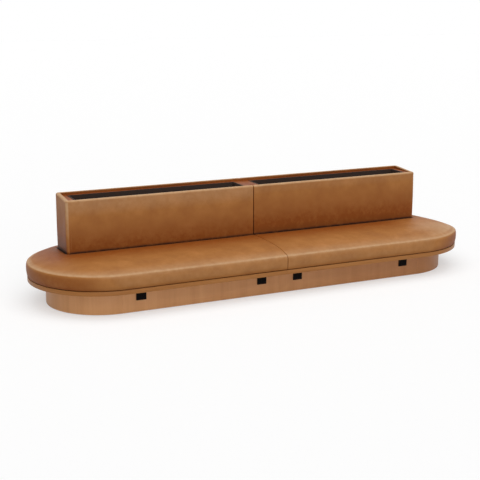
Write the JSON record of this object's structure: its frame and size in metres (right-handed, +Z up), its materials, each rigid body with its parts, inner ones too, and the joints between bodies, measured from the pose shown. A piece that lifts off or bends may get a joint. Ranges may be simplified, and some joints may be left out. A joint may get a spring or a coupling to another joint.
{
  "type": "upholstered banquette bench",
  "caption": "Island banquette bench with a round-ended padded seat on a recessed timber plinth, and a padded backrest with a planter trough on top.",
  "frame": {"origin": "on the floor, at the centre of the seat's length and depth", "axes": "+X along the bench to the right as seen from the front, -Y out of the front, +Z up"},
  "size_m": [4.45, 1.38, 0.951],
  "materials": {
    "tan_leather": "satin, lightly waxed",
    "plinth_veneer": "satin lacquer",
    "deck_timber": "satin lacquer",
    "frame_ply": "unfinished",
    "ledge_timber": "stained, satin",
    "liner_steel": "matt powder coat",
    "outlet_black": "matt moulded",
    "zinc_steel": "zinc plated",
    "conduit_plastic": "moulded",
    "glide_plastic": "moulded"
  },
  "bodies": {
    "bench": {"left_plinth_front_panel": "plinth_veneer", "right_plinth_front_panel": "plinth_veneer", "left_plinth_rear_panel": "plinth_veneer", "right_plinth_rear_panel": "plinth_veneer", "left_plinth_front_corner": "plinth_veneer", "right_plinth_front_corner": "plinth_veneer", "left_plinth_rear_corner": "plinth_veneer", "right_plinth_rear_corner": "plinth_veneer", "left_plinth_joint_panel": "frame_ply", "right_plinth_joint_panel": "frame_ply", "left_plinth_ribs": "frame_ply", "right_plinth_ribs": "frame_ply", "left_plinth_end_post": "frame_ply", "right_plinth_end_post": "frame_ply", "left_floor_glides": "glide_plastic", "right_floor_glides": "glide_plastic", "left_deck_board": "deck_timber", "right_deck_board": "deck_timber", "left_seat_board": "frame_ply", "right_seat_board": "frame_ply", "left_seat_cushion": "tan_leather", "right_seat_cushion": "tan_leather", "left_back_front_board": "frame_ply", "right_back_front_board": "frame_ply", "left_back_rear_board": "frame_ply", "right_back_rear_board": "frame_ply", "left_back_outer_end_board": "frame_ply", "right_back_outer_end_board": "frame_ply", "left_back_inner_end_board": "frame_ply", "right_back_inner_end_board": "frame_ply", "left_back_dividers": "frame_ply", "right_back_dividers": "frame_ply", "left_back_shelf_board": "frame_ply", "right_back_shelf_board": "frame_ply", "left_back_ledge_frame": "ledge_timber", "right_back_ledge_frame": "ledge_timber", "left_back_front_pad": "tan_leather", "right_back_front_pad": "tan_leather", "left_back_rear_pad": "tan_leather", "right_back_rear_pad": "tan_leather", "left_back_end_pad": "tan_leather", "right_back_end_pad": "tan_leather", "seat_screws": "zinc_steel", "back_brackets": "zinc_steel", "bracket_screws": "zinc_steel", "joint_bolts": "zinc_steel", "joint_nuts": "zinc_steel", "joint_washers": "zinc_steel", "outlet_plates": "outlet_black", "outlet_inserts": "outlet_black", "outlet_boxes": "zinc_steel", "outlet_screws": "outlet_black", "wiring_conduits": "conduit_plastic", "power_inlet": "outlet_black", "inlet_screws": "zinc_steel"},
    "left_liner": {"left_planter_liner": "liner_steel"},
    "right_liner": {"right_planter_liner": "liner_steel"}
  },
  "joints": [
    {"name": "left_liner_lift", "type": "slide", "parent": "bench", "child": "left_liner", "axis": [0, 0, 1], "range_m": [0, 0.22]},
    {"name": "right_liner_lift", "type": "slide", "parent": "bench", "child": "right_liner", "axis": [0, 0, 1], "range_m": [0, 0.22]}
  ]
}
